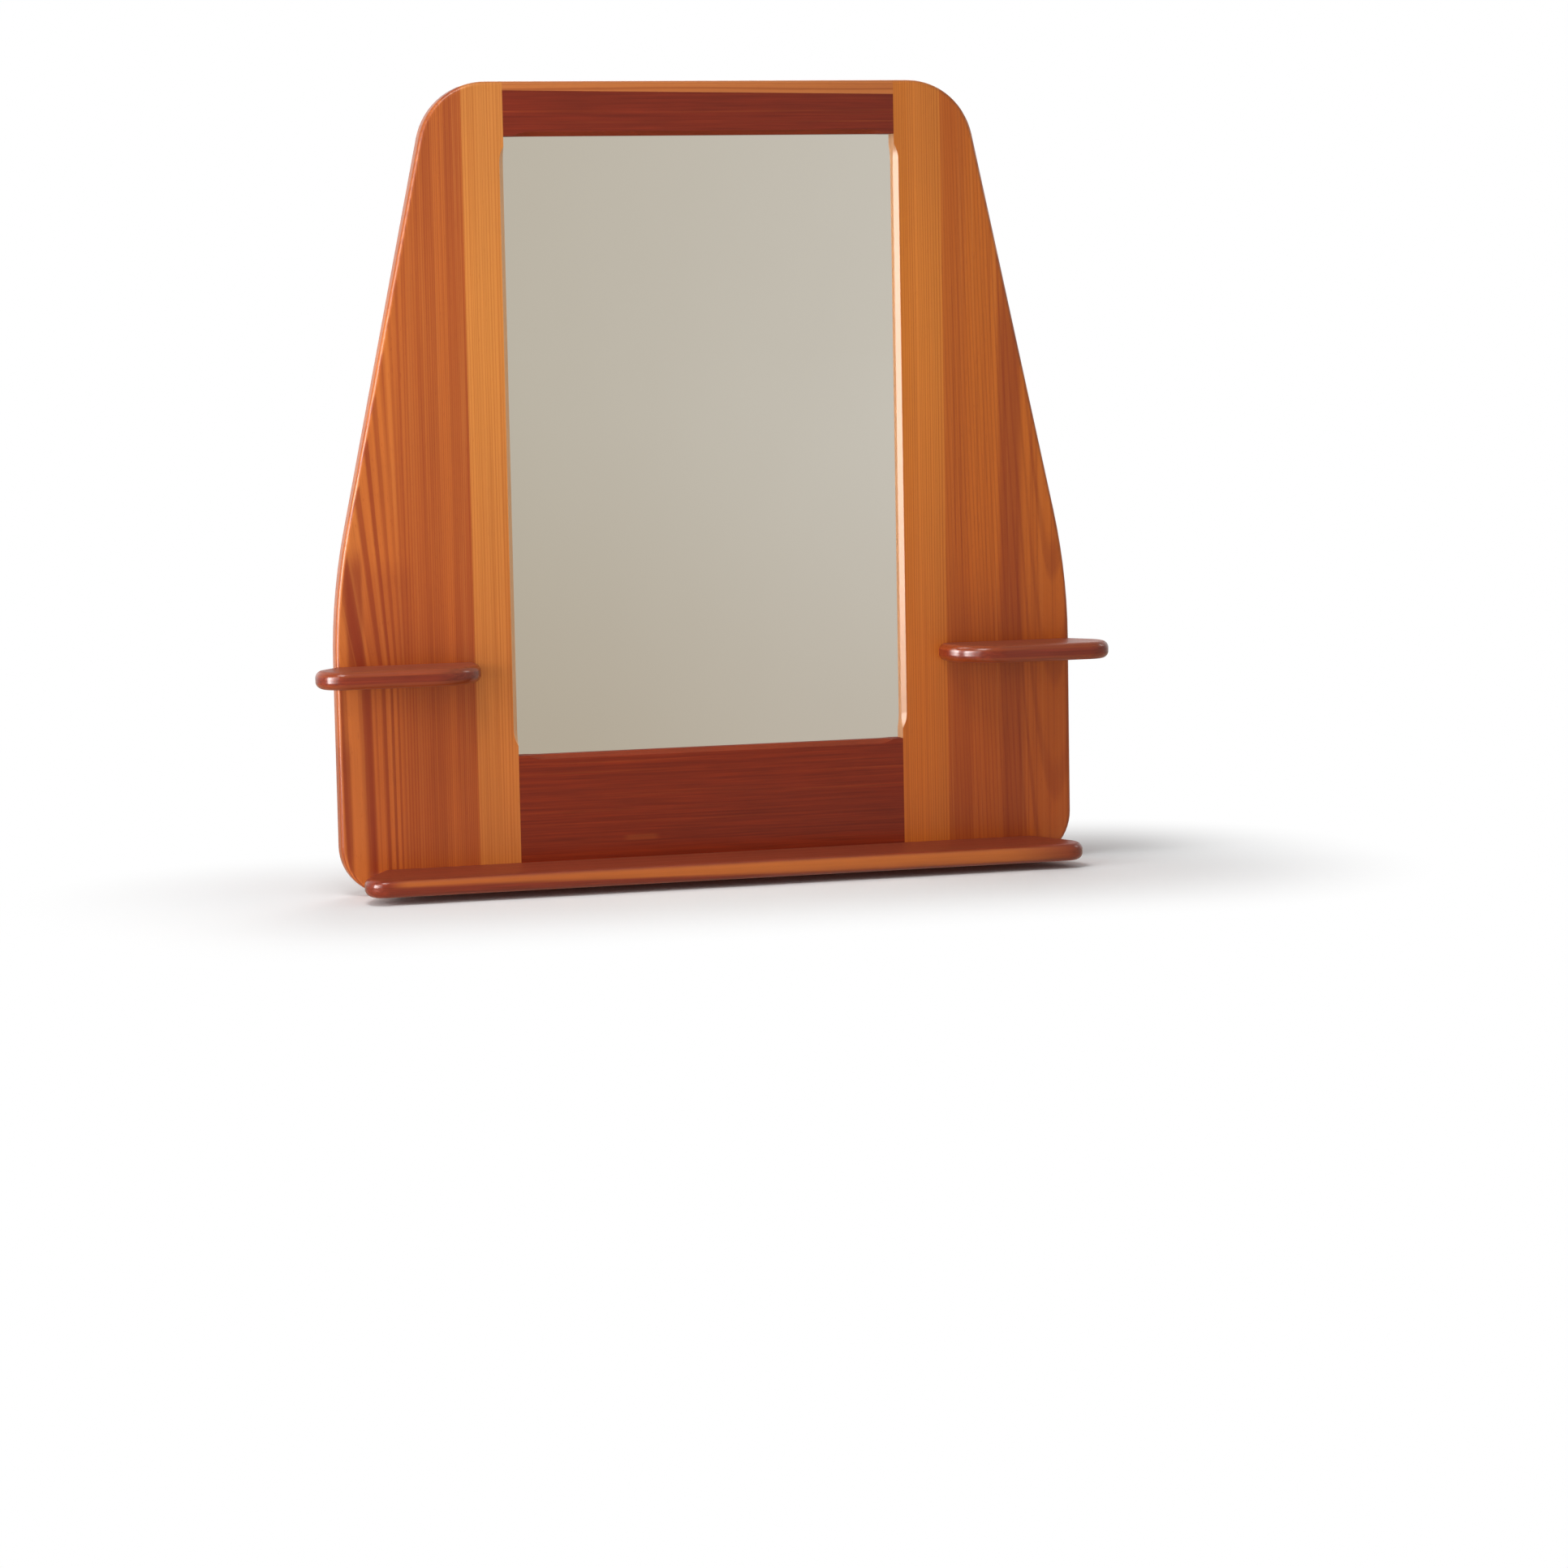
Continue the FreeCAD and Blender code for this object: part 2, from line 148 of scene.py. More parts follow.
def rgba(colour):
    """A colour with its fourth channel, or a link as it is."""
    return colour if isinstance(colour, Flow) else (*colour, 1.0)


class Flow:
    """A shader socket: arithmetic on it adds Math nodes to the same tree."""

    def __init__(self, bench, socket):
        self.bench, self.socket = bench, socket

    def math(self, operation, *values):
        """One Math node on the values, in their order."""
        return self.bench.node("ShaderNodeMath", {"operation": operation}, dict(enumerate(values)))

    def __add__(self, other):
        return self.math("ADD", self, other)

    def __radd__(self, other):
        return self.math("ADD", other, self)

    def __sub__(self, other):
        return self.math("SUBTRACT", self, other)

    def __rsub__(self, other):
        return self.math("SUBTRACT", other, self)

    def __mul__(self, other):
        return self.math("MULTIPLY", self, other)

    def __rmul__(self, other):
        return self.math("MULTIPLY", other, self)

    def __truediv__(self, other):
        return self.math("DIVIDE", self, other)

    def __rtruediv__(self, other):
        return self.math("DIVIDE", other, self)

    def __abs__(self):
        return self.math("ABSOLUTE", self)

    def apply(self, operation, *values):
        """One more Math operation, with this socket first."""
        return self.math(operation, self, *values)

    def rise(self, start, end):
        """Smooth step: 0 up to start, 1 from end on. Start above end gives a fall."""
        low, high, first, last = (start, end, 0.0, 1.0) if start < end else (end, start, 1.0, 0.0)
        return self.bench.node(
            "ShaderNodeMapRange",
            {"interpolation_type": "SMOOTHSTEP", "clamp": True},
            {"Value": self, "From Min": low, "From Max": high, "To Min": first, "To Max": last},
        )

    def between(self, start, end, soft):
        """1 from start to end, with soft edges that wide outside them."""
        return self.rise(start - soft, start) * self.rise(end + soft, end)

    def out(self, name):
        """Another output of the node that this socket belongs to."""
        return Flow(self.bench, self.socket.node.outputs[name])


class Bench:
    """A node tree to which one method adds any node."""

    def __init__(self, tree):
        self.tree = tree
        tree.nodes.clear()

    def node(self, kind, settings=None, sockets=None, output=0):
        """Adds a node of that type, sets its settings, then its sockets' values or links."""
        made = self.tree.nodes.new(kind)
        for name, value in (settings or {}).items():
            setattr(made, name, value)
        for key, value in (sockets or {}).items():
            named = {s.name: s for s in reversed(made.inputs)} | {s.identifier: s for s in made.inputs}
            target = made.inputs[key] if isinstance(key, int) else named[key]
            if isinstance(value, Flow):
                self.tree.links.new(value.socket, target)
            else:
                target.default_value = value
        if not made.outputs:
            return made
        if isinstance(output, str):
            return Flow(self, next(s for s in made.outputs if output in (s.identifier, s.name)))
        return Flow(self, made.outputs[output])

    def mix(self, share, first, second, how="MIX"):
        """Colour that goes from first to second as share goes from 0 to 1."""
        return self.node(
            "ShaderNodeMix",
            {"data_type": "RGBA", "blend_type": how},
            {"Factor_Float": share, "A_Color": rgba(first), "B_Color": rgba(second)},
            "Result_Color",
        )

    def scaled(self, colour, amount):
        """A colour made lighter or darker by an amount."""
        return self.node("ShaderNodeVectorMath", {"operation": "SCALE"}, {0: colour, "Scale": amount})

    def join(self, across, depth, along):
        """A vector of three parts."""
        return self.node("ShaderNodeCombineXYZ", None, {0: across, 1: depth, 2: along})

    def split(self, vector):
        """The three parts of a vector."""
        first = self.node("ShaderNodeSeparateXYZ", None, {0: vector})
        return first, first.out("Y"), first.out("Z")

    def spot(self):
        """Place on the piece in metres."""
        return self.node("ShaderNodeTexCoord", None, None, "Object")

    def place(self):
        """Place on the piece in millimetres."""
        return self.node("ShaderNodeMapping", None, {"Vector": self.spot(), "Scale": (MILLIMETRES,) * 3})

    def direction(self, axis):
        """The part of the surface's direction along an axis, from -1 to 1."""
        normal = self.node("ShaderNodeNewGeometry", None, None, "Normal")
        return self.split(normal)["XYZ".index(axis)]

    def facing(self, axis):
        """How far the surface looks along an axis, from 0 to 1, whichever way."""
        return abs(self.direction(axis))

    def noise(self, vector, lengths, detail=2.0, roughness=0.5):
        """Cloudy noise from 0 to 1, whose patches are about as long as lengths along each axis."""
        stretched = self.node("ShaderNodeMapping", None, {"Vector": vector, "Scale": tuple(1.0 / s for s in lengths)})
        return self.node(
            "ShaderNodeTexNoise", None, {"Vector": stretched, "Scale": 1.0, "Detail": detail, "Roughness": roughness}
        )

    def wave_of(self, value, length, detail=1.0):
        """Noise along one number, from 0 to 1, with swells about that long."""
        return self.node(
            "ShaderNodeTexNoise", {"noise_dimensions": "1D"}, {"W": value / length, "Scale": 1.0, "Detail": detail}
        )

    def bump(self, height, strength, depth):
        """Surface direction with a relief of that depth in millimetres."""
        return self.node(
            "ShaderNodeBump", None, {"Height": height, "Strength": strength, "Distance": depth / MILLIMETRES}
        )

    def glow(self, colour):
        """A surface that shows its colour under any light."""
        return self.node("ShaderNodeEmission", None, {"Color": rgba(colour)})

    def blend(self, share, first, second):
        """Shader that goes from first to second as share goes from 0 to 1."""
        return self.node("ShaderNodeMixShader", None, {0: share, 1: first, 2: second})

    def surface(self, **sockets):
        """The Principled shader and its output; socket names are written with underscores."""
        named = {key.replace("_", " "): value for key, value in sockets.items()}
        shader = self.node("ShaderNodeBsdfPrincipled", None, named)
        self.node("ShaderNodeOutputMaterial", None, {"Surface": shader})


def new_finish(name):
    """A new material and the bench that holds its nodes."""
    finish = bpy.data.materials.new(name)
    finish.use_nodes = True
    return finish, Bench(finish.node_tree)


def dress(finish, *nodes):
    """Gives CAD nodes a finish through their material slots."""
    for name in nodes:
        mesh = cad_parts[name].data
        mesh.materials.clear()
        mesh.materials.append(finish)


class Grain:
    """Growth rings of sawn wood.

    A ring's number is its distance from the pith line, less the pith's depth under the face, over the ring width.
    Lean moves the wood sideways and inward along the trunk, squeeze draws in the side below the pith's own place,
    waver is how far noise warps it, uneven how much the ring width swells, tighter adds rings per millimetre from a
    distance on, and phase is the number right over the pith.
    The part of the number after its point runs from pale early wood to dark late wood, which begins softly at early
    and ends sharply.
    """

    def __init__(
        self, bench, along, pith, ring_width, seed,
        waver=1.0, uneven=1.3, phase=0.0, early=0.5, squeeze=1.0, lean=None, tighter=None,
    ):
        x, y, z = bench.split(bench.place())
        self.bench, self.seed = bench, seed
        self.x, self.y, self.z = x, y, z
        pith_place, pith_depth = pith
        across, length = (x, z) if along == "Z" else (z, x)
        inward = y - BOARD_FRONT + pith_depth
        if lean is not None:
            sideways, deeper = lean(across, length)
            across, inward = across + sideways, inward + deeper
        side = across - pith_place
        side = side.apply("MAXIMUM", 0.0) + squeeze * side.apply("MINIMUM", 0.0)
        self.side = abs(side)
        self.point = bench.join(across + seed, y + 2.0 * seed, length + 3.0 * seed)
        slow = bench.noise(self.point, SLOW_SWELL) - 0.5
        quick = bench.noise(self.point, QUICK_SWELL) - 0.5
        self.warp = waver * (SLOW_BEND * slow + QUICK_BEND * quick)
        reach = (side * side + inward * inward).apply("SQRT")
        self.grown = reach - pith_depth + self.warp
        swell = bench.wave_of(self.grown + seed, RING_SWELL) - 0.5
        ring = self.grown / ring_width + phase + uneven * swell
        if tighter is not None:
            start, rings = tighter
            ring = ring + rings * (self.grown - start).apply("MAXIMUM", 0.0)
        part = ring.apply("FRACT")
        self.late = part.rise(early, early + LATE_BEGINS) * part.rise(*LATE_ENDS)
        self.year = bench.node("ShaderNodeTexWhiteNoise", {"noise_dimensions": "1D"}, {"W": ring.apply("FLOOR")})
        self.fibre = bench.noise(self.point, FIBRE, 2.0, 0.6)
        self.lines = bench.noise(self.point, LINES, 3.0, 0.6)
        self.mottle = bench.noise(self.point, MOTTLE, 3.0, 0.55)
        self.ducts = bench.noise(self.point, DUCTS, 1.0).rise(0.66, 0.78)

    def bands(self):
        """Wide pale and dark bands that follow the rings."""
        return self.bench.wave_of(self.grown + 5.0 * self.seed, BAND_SWELL)

    def hairs(self):
        """Short thin lines along the grain."""
        return self.bench.noise(self.point, HAIRS, 2.0, 0.6)


def pine(name, pale, dark, rings, coarse=1.0, fine=0.6, reach=(50.0, 80.0), streaks=(), lip_light=None):
    """Lacquered pine with upright or level grain.

    Coarse and fine are how dark late wood is where the board cuts the rings flat and where it cuts them square, and
    reach is how far from the pith the one goes over to the other.
    Streaks are (start, end, soft edge, strength, lowest, highest) in millimetres: strips along the grain that are
    redder where strength is above 0 and paler where it is below. Lip light is the colour painted on a stave's edge
    along the glass: painted light on the chamfer beside the glass.
    """
    finish, bench = new_finish(name)
    grain = Grain(bench, **rings)
    late = grain.late * (0.65 + 0.35 * grain.year) * (coarse + (fine - coarse) * grain.side.rise(*reach))
    colour = pale
    strip = grain.x + STREAK_BEND * grain.warp
    for start, end, soft, strength, lowest, highest in streaks:
        fade = min(LONGEST_FADE, STREAK_FADE * (highest - lowest))
        mask = strip.between(start, end, soft) * grain.z.between(lowest, highest, fade)
        mask = mask * (0.55 + 0.9 * grain.mottle) * abs(strength)
        colour = bench.mix(mask.apply("MINIMUM", 1.0), colour, RED_STREAK if strength > 0 else FAIR_STREAK)
    colour = bench.mix(late, colour, dark)
    colour = bench.mix(0.28 * grain.ducts, colour, dark)
    colour = bench.mix(0.42 * grain.lines.rise(0.5, 0.74), colour, dark)
    colour = bench.mix(0.16 * grain.lines.rise(0.46, 0.28), colour, FAIR_STREAK)
    colour = bench.scaled(colour, 0.8 + 0.16 * grain.mottle + 0.12 * grain.bands() + 0.14 * grain.fibre)
    # Painted shade: the boards grow darker towards the foot
    colour = bench.mix(grain.z.rise(*FOOT_SHADE_HEIGHTS), colour, FOOT_SHADE_TINT, "MULTIPLY")
    colour = bench.mix(grain.z.rise(*TOP_HEIGHTS), colour, TOP_TINT, "MULTIPLY")
    # Painted light: the chamfers beside the glass take a pale lip colour in place of the window light and sheen on
    # them
    if lip_light is not None:
        beside_glass = abs(grain.x).rise(*GLASS_EDGE) * bench.facing("X").rise(0.25, 0.5)
        colour = bench.mix(0.75 * beside_glass, colour, lip_light)
    # End grain painted darker: partly the end grain's own colour, partly painted shade on the top ends
    colour = bench.mix(0.6 * bench.facing(rings["along"]).rise(*END_FACE), colour, dark)
    relief = 0.6 * grain.fibre + 0.5 * late + 0.3 * grain.mottle
    bench.surface(
        Base_Color=colour,
        Roughness=0.36 + 0.12 * grain.fibre + 0.1 * grain.mottle - 0.06 * late,
        Specular_IOR_Level=0.05,
        Coat_Weight=0.7 - 0.2 * grain.mottle,
        Coat_Roughness=0.28,
        Normal=bench.bump(relief, 0.14, 0.15),
    )
    return finish


def stained(name, tint, deep, worn_and_lit, rings, wear_and_highlight, top_light=0.0, gloss=0.7):
    """Pine stained red-brown, grain level: fine low-contrast lines, painted lighter where the stain is rubbed through
    and where highlights are painted on.

    Top light is how far faces that look up are painted lighter and greyer, painted light from above, and gloss is how
    thick the lacquer is.
    """
    finish, bench = new_finish(name)
    grain = Grain(bench, along="X", **rings)
    line = grain.lines
    late = grain.late * (0.3 + 0.7 * grain.year)
    colour = bench.mix(0.26 * late + 0.48 * line.rise(0.42, 0.75), tint, deep)
    colour = bench.mix(0.13 * line.rise(0.42, 0.24), colour, worn_and_lit)
    colour = bench.mix(0.22 * grain.ducts, colour, deep)
    colour = bench.scaled(colour, 0.36 + 0.24 * grain.mottle + 0.2 * grain.fibre + 0.84 * grain.hairs())
    top_face = bench.facing("Z").rise(*LOOKS_UP)
    # Painted light: faces that look up are painted lighter and greyer, in place of light from above
    colour = bench.mix(top_light * top_face, colour, LIT_TOP_STAIN)
    # Painted lighter by the mask: rubbed stain, and painted highlights on the arrises
    mask = wear_and_highlight(bench, grain) * (0.55 + 0.6 * line) * (0.6 + 0.7 * grain.mottle)
    colour = bench.mix(mask.apply("MINIMUM", 1.0), colour, worn_and_lit)
    relief = 0.7 * grain.fibre + 0.4 * line + 0.4 * late
    bench.surface(
        Base_Color=colour,
        Roughness=0.34 + 0.14 * line + 0.1 * grain.mottle,
        Specular_IOR_Level=0.05,
        Coat_Weight=(gloss - 0.2 * grain.mottle) * (1.0 - 0.85 * top_face),
        Coat_Roughness=0.2,
        Normal=bench.bump(relief, 0.2, 0.15),
    )
    return finish


def silvered(name, silver):
    """Mirror on the face that looks forward, grey paint on the back and the edges."""
    finish, bench = new_finish(name)
    point = bench.place()
    front = bench.direction("Y").rise(-0.4, -0.9)
    haze = bench.noise(point, (160.0, 160.0, 240.0), 4.0, 0.6)
    specks = bench.noise(point, (1.6, 1.6, 1.6), 1.0).rise(0.8, 0.9)
    paint = bench.mix(bench.noise(point, (3.0, 3.0, 3.0), 3.0), DARK_PAINT, PALE_PAINT)
    clear = bench.mix(haze, silver, GLASS_HAZE)
    bench.surface(
        Base_Color=bench.mix(front, paint, clear),
        Metallic=front,
        Roughness=0.6 - 0.59 * front + front * (0.012 * haze + 0.05 * specks),
    )
    return finish


def pressed_fibre(name, tint):
    """Hardboard: clumps, stray fibres and the print of the screen it was pressed on."""
    finish, bench = new_finish(name)
    point = bench.place()
    x, _, z = bench.split(point)
    fibres = bench.noise(point, (0.9, 2.0, 1.4), 3.0, 0.65)
    clumps = bench.noise(point, (5.0, 5.0, 4.0), 4.0, 0.65)
    cloud = bench.noise(point, (90.0, 90.0, 120.0), 3.0)
    turns = FULL_TURN / SCREEN_PITCH
    screen = (x * turns).apply("SINE") * (z * turns).apply("SINE")
    colour = bench.mix(clumps.rise(0.35, 0.7), tint, BOARD_CLUMPS)
    colour = bench.mix(0.35 * fibres.rise(0.55, 0.75), colour, BOARD_FIBRES)
    bench.surface(
        Base_Color=bench.scaled(colour, 0.86 + 0.22 * cloud + 0.05 * screen),
        Roughness=0.72 + 0.16 * fibres,
        Specular_IOR_Level=0.3,
        Normal=bench.bump(0.5 * screen + 0.6 * fibres, 0.35, 0.12),
    )
    return finish


def turned_beech(name, tint):
    """Beech with its grain along X and short dark flecks."""
    finish, bench = new_finish(name)
    point = bench.place()
    lines = bench.noise(point, (26.0, 0.8, 0.8), 2.0)
    flecks = bench.noise(point, (2.4, 0.4, 0.4), 1.0).rise(0.62, 0.72)
    colour = bench.mix(lines, tint, BEECH_LINES)
    bench.surface(
        Base_Color=bench.mix(0.4 * flecks, colour, BEECH_FLECKS),
        Roughness=0.55 + 0.1 * lines,
        Specular_IOR_Level=0.35,
        Normal=bench.bump(lines, 0.2, 0.1),
    )
    return finish


def zinc_plate(name, tint):
    """Zinc on steel: small crystals, dull patches and brushed lines."""
    finish, bench = new_finish(name)
    point = bench.place()
    spangle = bench.node("ShaderNodeTexVoronoi", {"feature": "F1"}, {"Vector": point, "Scale": 0.4}, "Color")
    crystal = bench.node("ShaderNodeSeparateColor", None, {0: spangle})
    dull = bench.noise(point, (14.0, 14.0, 14.0), 4.0, 0.6)
    brushed = bench.noise(point, (0.5, 0.5, 9.0), 2.0)
    colour = bench.mix(dull.rise(0.4, 0.75), tint, DULL_ZINC)
    bench.surface(
        Base_Color=bench.scaled(colour, 0.88 + 0.18 * crystal + 0.08 * brushed),
        Metallic=1.0 - 0.2 * dull.rise(0.55, 0.85),
        Roughness=0.28 + 0.16 * dull + 0.1 * brushed,
        Normal=bench.bump(brushed, 0.12, 0.05),
    )
    return finish


def old_brass(name, tint):
    """Brass with brushed lines and brown tarnish."""
    finish, bench = new_finish(name)
    point = bench.place()
    tarnish = bench.noise(point, (8.0, 8.0, 8.0), 4.0, 0.65)
    brushed = bench.noise(point, (7.0, 0.4, 0.4), 2.0)
    colour = bench.mix(tarnish.rise(0.45, 0.8), tint, TARNISH)
    bench.surface(
        Base_Color=bench.scaled(colour, 0.92 + 0.14 * brushed),
        Metallic=1.0 - 0.25 * tarnish.rise(0.6, 0.85),
        Roughness=0.24 + 0.24 * tarnish + 0.08 * brushed,
        Normal=bench.bump(brushed, 0.12, 0.05),
    )
    return finish


def left_lean(across, along):
    """Lines fan out from one straight line: more above the small shelf, a little below it."""
    straight_line, shelf_height = -346.5, -565.0
    above = along - shelf_height
    spread = 1.0 + 0.00343 * above.apply("MAXIMUM", 0.0) + 0.0003 * above.apply("MINIMUM", 0.0)
    outside = (across - straight_line).apply("MINIMUM", 0.0)
    return outside / spread - outside, 0.0


def right_lean(_, along):
    """The tree leans out of the board evenly, which draws flames that point down."""
    return 0.0, -0.018 * along


def rail_wear_and_highlight(bench, grain):
    """The arris along the glass, partly rubbed stain and partly a painted highlight, and a small painted reflection
    low on the rail.
    """
    # Painted reflection: a small light patch low on the rail's front
    painted_reflection = grain.x.between(-98.0, -74.0, 12.0) * grain.z.between(-750.0, -747.0, 3.0)
    painted_reflection = painted_reflection * grain.y.rise(BOARD_FRONT + 4.0, BOARD_FRONT + 1.0)
    return 0.1 * bench.facing("Y").between(0.3, 0.8, 0.2) + 0.2 * painted_reflection


def foot_wear_and_highlight(bench, grain):
    """The rounded front of the long shelf painted lighter: a thin line under its top arris, wider towards the right
    end, partly rubbed stain and partly a painted highlight on the bullnose.
    """
    lower = 8.0 * grain.x.rise(160.0, -330.0) - 790.0
    height = grain.z - lower + 3.0 * (grain.lines - 0.5)
    front = bench.facing("Y").rise(0.42, 0.94) * height.rise(0.0, 5.0)
    front = front * grain.x.rise(-398.0, -372.0) * grain.x.rise(430.0, 300.0)
    return front * (0.85 + 0.35 * grain.x.rise(-250.0, 150.0))


def rubbed_side(bench, _):
    """The arris of a small shelf, rubbed a little."""
    return 0.22 * bench.facing("Z").between(0.35, 0.8, 0.2)


# Grain and streaks of the four staves
STAVES = {
    "left_inner": {
        "rings": {
            "along": "Z", "pith": (0.0, 45.0), "ring_width": 2.7, "seed": 11.0, "waver": 0.35, "uneven": 3.0,
        },
        "fine": 0.5,
    },
    "left_outer": {
        "rings": {
            "along": "Z", "pith": (-397.0, 90.0), "ring_width": 2.3, "seed": 23.0, "waver": 0.05, "uneven": 0.0,
            "phase": 0.85, "early": 0.4, "squeeze": 0.66, "lean": left_lean, "tighter": (9.0, 0.14),
        },
        "coarse": 1.0,
        "fine": 0.36,
        "reach": (14.0, 46.0),
        "streaks": (
            (-437.0, -404.0, 12.0, -0.25, *WHOLE_BOARD),
            (-414.0, -402.0, 6.0, 0.75, -535.0, -440.0),
            (-432.0, -420.0, 6.0, 0.4, -740.0, -650.0),
            (-352.0, -312.0, 12.0, 0.26, *WHOLE_BOARD),
            (-308.0, -296.0, 6.0, 0.1, -620.0, 200.0),
            (-291.0, -277.0, 6.0, 0.3, *WHOLE_BOARD),
            (-291.0, -277.0, 6.0, 0.2, -560.0, 200.0),
            # Painted shade: a red strip on the board just above the small shelf, where the shelf shades it
            (-388.0, -350.0, 12.0, 0.25, -540.0, -450.0),
        ),
    },
    "right_inner": {
        "rings": {
            "along": "Z", "pith": (520.0, 60.0), "ring_width": 2.6, "seed": 37.0, "waver": 0.35, "uneven": 3.0,
        },
        "fine": 0.65,
        "streaks": ((247.0, 284.0, 8.0, -0.15, -480.0, 200.0),),
    },
    "right_outer": {
        "rings": {
            "along": "Z", "pith": (412.0, 150.0), "ring_width": 2.2, "seed": 53.0, "waver": 0.3, "lean": right_lean,
        },
        "coarse": 0.4,
        "fine": 0.36,
        "reach": (36.0, 66.0),
        "streaks": (
            (384.0, 440.0, 14.0, 0.2, -900.0, -640.0),
            (352.0, 370.0, 9.0, 0.6, -900.0, -190.0),
            (284.0, 306.0, 8.0, 0.22, *WHOLE_BOARD),
            (290.0, 345.0, 12.0, 0.3, -900.0, -560.0),
        ),
    },
}

# Grain of the batten, the rails and the shelves
BATTEN_RINGS = {"along": "X", "pith": (40.0, 120.0), "ring_width": 2.6, "seed": 83.0, "waver": 0.5}
TOP_RAIL_RINGS = {"pith": (180.0, 60.0), "ring_width": 3.1, "seed": 61.0, "waver": 0.6}
BOTTOM_RAIL_RINGS = {"pith": (-640.0, 60.0), "ring_width": 3.1, "seed": 71.0, "waver": 0.6}
FOOT_SHELF_RINGS = {"pith": (-840.0, 30.0), "ring_width": 2.9, "seed": 97.0, "waver": 0.5}
SIDE_SHELF_RINGS = {"pith": (-600.0, 40.0), "ring_width": 2.9, "seed": 113.0, "waver": 0.5}


def colour_setting(name, description, colour):
    """A colour that the user can change."""
    return FloatVectorProperty(
        name=name, description=description, subtype="COLOR", min=0.0, max=1.0, default=colour
    )


def power_setting(name, description, watts):
    """A lamp's power that the user can change."""
    return FloatProperty(name=name, description=description, unit="POWER", min=0.0, default=watts)


class BoardColours(bpy.types.PropertyGroup):
    """Colours of the four pine staves and the batten."""

    left_inner_pale: colour_setting(
        "Left inner pale", "Early wood of the stave left of the glass", shade(203, 128, 58)
    )
    left_inner_dark: colour_setting(
        "Left inner dark", "Late wood of the stave left of the glass", shade(172, 91, 34)
    )
    # Painted light: a pale colour on the left chamfer that stands in for fill light from the room
    left_inner_lip: colour_setting(
        "Left inner lip", "Rubbed edge of the stave left of the glass", shade(236, 188, 140)
    )
    left_outer_pale: colour_setting(
        "Left outer pale", "Early wood of the wide left stave", shade(190, 103, 42)
    )
    left_outer_dark: colour_setting(
        "Left outer dark", "Late wood of the wide left stave", shade(136, 48, 22)
    )
    right_inner_pale: colour_setting(
        "Right inner pale", "Early wood of the stave right of the glass", shade(203, 117, 41)
    )
    right_inner_dark: colour_setting(
        "Right inner dark", "Late wood of the stave right of the glass", shade(170, 86, 28)
    )
    # Painted light: a paler colour on the right chamfer that stands in for the window's sheen on it
    right_inner_lip: colour_setting(
        "Right inner lip", "Rubbed edge of the stave right of the glass", shade(174, 130, 92)
    )
    right_outer_pale: colour_setting(
        "Right outer pale", "Early wood of the wide right stave", shade(194, 103, 33)
    )
    right_outer_dark: colour_setting(
        "Right outer dark", "Late wood of the wide right stave", shade(138, 52, 20)
    )
    batten_pale: colour_setting(
        "Batten pale", "Early wood of the batten along the top", shade(194, 114, 56)
    )
    batten_dark: colour_setting(
        "Batten dark", "Late wood of the batten along the top", shade(168, 88, 40)
    )


class StainColours(bpy.types.PropertyGroup):
    """Colours of the stained rails and shelves."""

    top_rail_tint: colour_setting(
        "Top rail", "Stain on the early wood of the rail above the glass", shade(117, 36, 17)
    )
    top_rail_deep: colour_setting(
        "Top rail lines", "Stain in the dark lines of the rail above the glass", shade(91, 24, 11)
    )
    bottom_rail_tint: colour_setting(
        "Bottom rail", "Stain on the early wood of the rail below the glass", shade(129, 39, 11)
    )
    bottom_rail_deep: colour_setting(
        "Bottom rail lines", "Stain in the dark lines of the rail below the glass", shade(99, 24, 6)
    )
    shelf_tint: colour_setting("Shelf", "Stain on the shelves' early wood", shade(130, 46, 24))
    shelf_deep: colour_setting("Shelf lines", "Stain in the shelves' dark lines", shade(100, 31, 15))
    # Colour of rubbed stain, also used for painted highlights on the rails and the long shelf and for pale grain
    # lines
    worn_and_lit: colour_setting("Rubbed edge", "Wood where the stain is rubbed through", shade(188, 100, 38))


class FittingColours(bpy.types.PropertyGroup):
    """Colours of the glass, the back and the metal fittings."""

    silver: colour_setting("Mirror", "Tint of the silvered glass", (0.93, 0.935, 0.925))
    hardboard: colour_setting("Hardboard", "Pressed fibre board behind the glass", shade(134, 96, 62))
    beech: colour_setting("Beech", "Dowels", shade(205, 165, 120))
    zinc: colour_setting("Zinc", "Zinc plate on steel", (0.56, 0.575, 0.59))
    brass: colour_setting("Brass", "Turn buttons and the screws of the hanger plates", (0.68, 0.47, 0.19))


